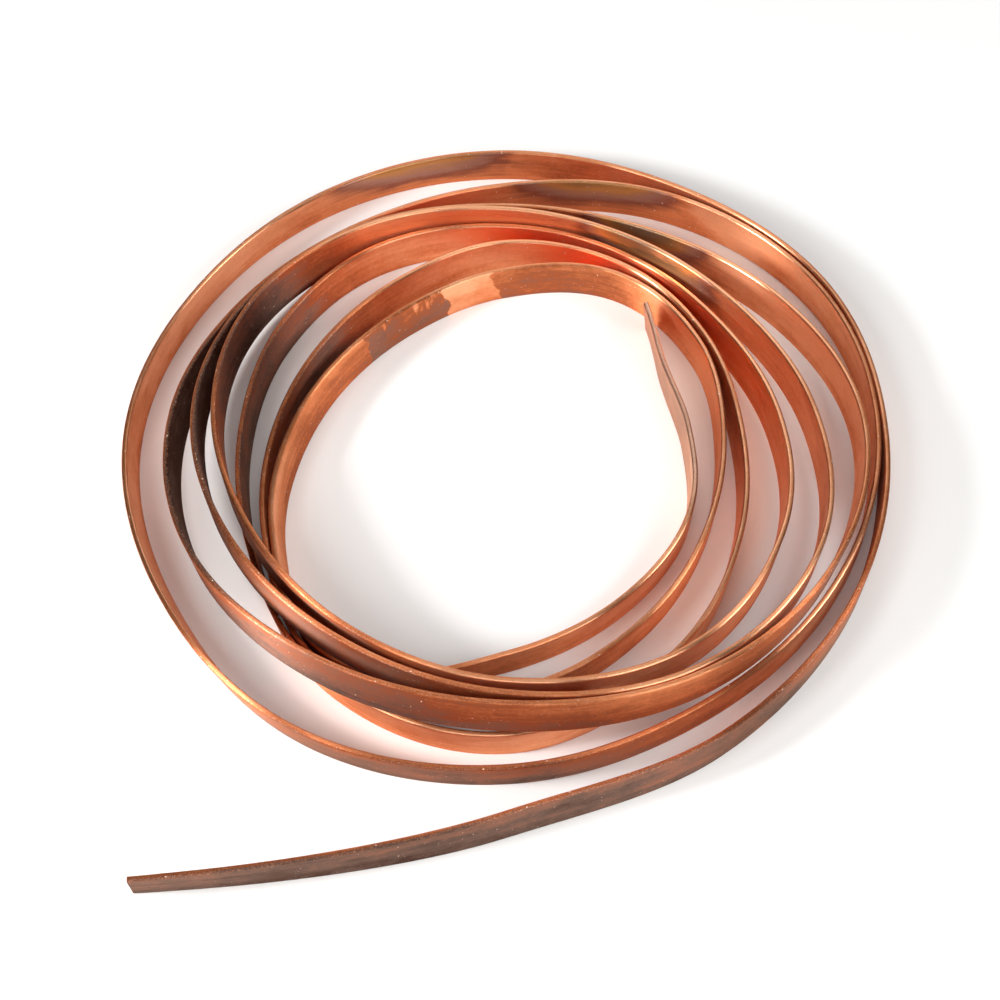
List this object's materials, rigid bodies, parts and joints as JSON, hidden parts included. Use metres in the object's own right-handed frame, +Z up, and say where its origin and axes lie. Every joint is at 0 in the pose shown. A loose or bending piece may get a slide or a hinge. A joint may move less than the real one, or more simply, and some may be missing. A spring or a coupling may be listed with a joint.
{
  "type": "coil of copper tape",
  "caption": "Length of flat bare copper tape wound on edge into a loose open coil, with a long outer tail swept round the front and a short inner end.",
  "frame": {"origin": "on the floor, under the middle of the coil's outer bounds with its tail", "axes": "+Z up, along the coil's axis; -Y is the front, where the tail sweeps past; +X is right as seen from the front"},
  "size_m": [0.4056, 0.4672, 0.0519],
  "materials": {
    "bare_copper": "rolled bare copper, satin, with brown handling tarnish"
  },
  "bodies": {
    "root": {"copper_tape": "bare_copper"}
  },
  "joints": []
}
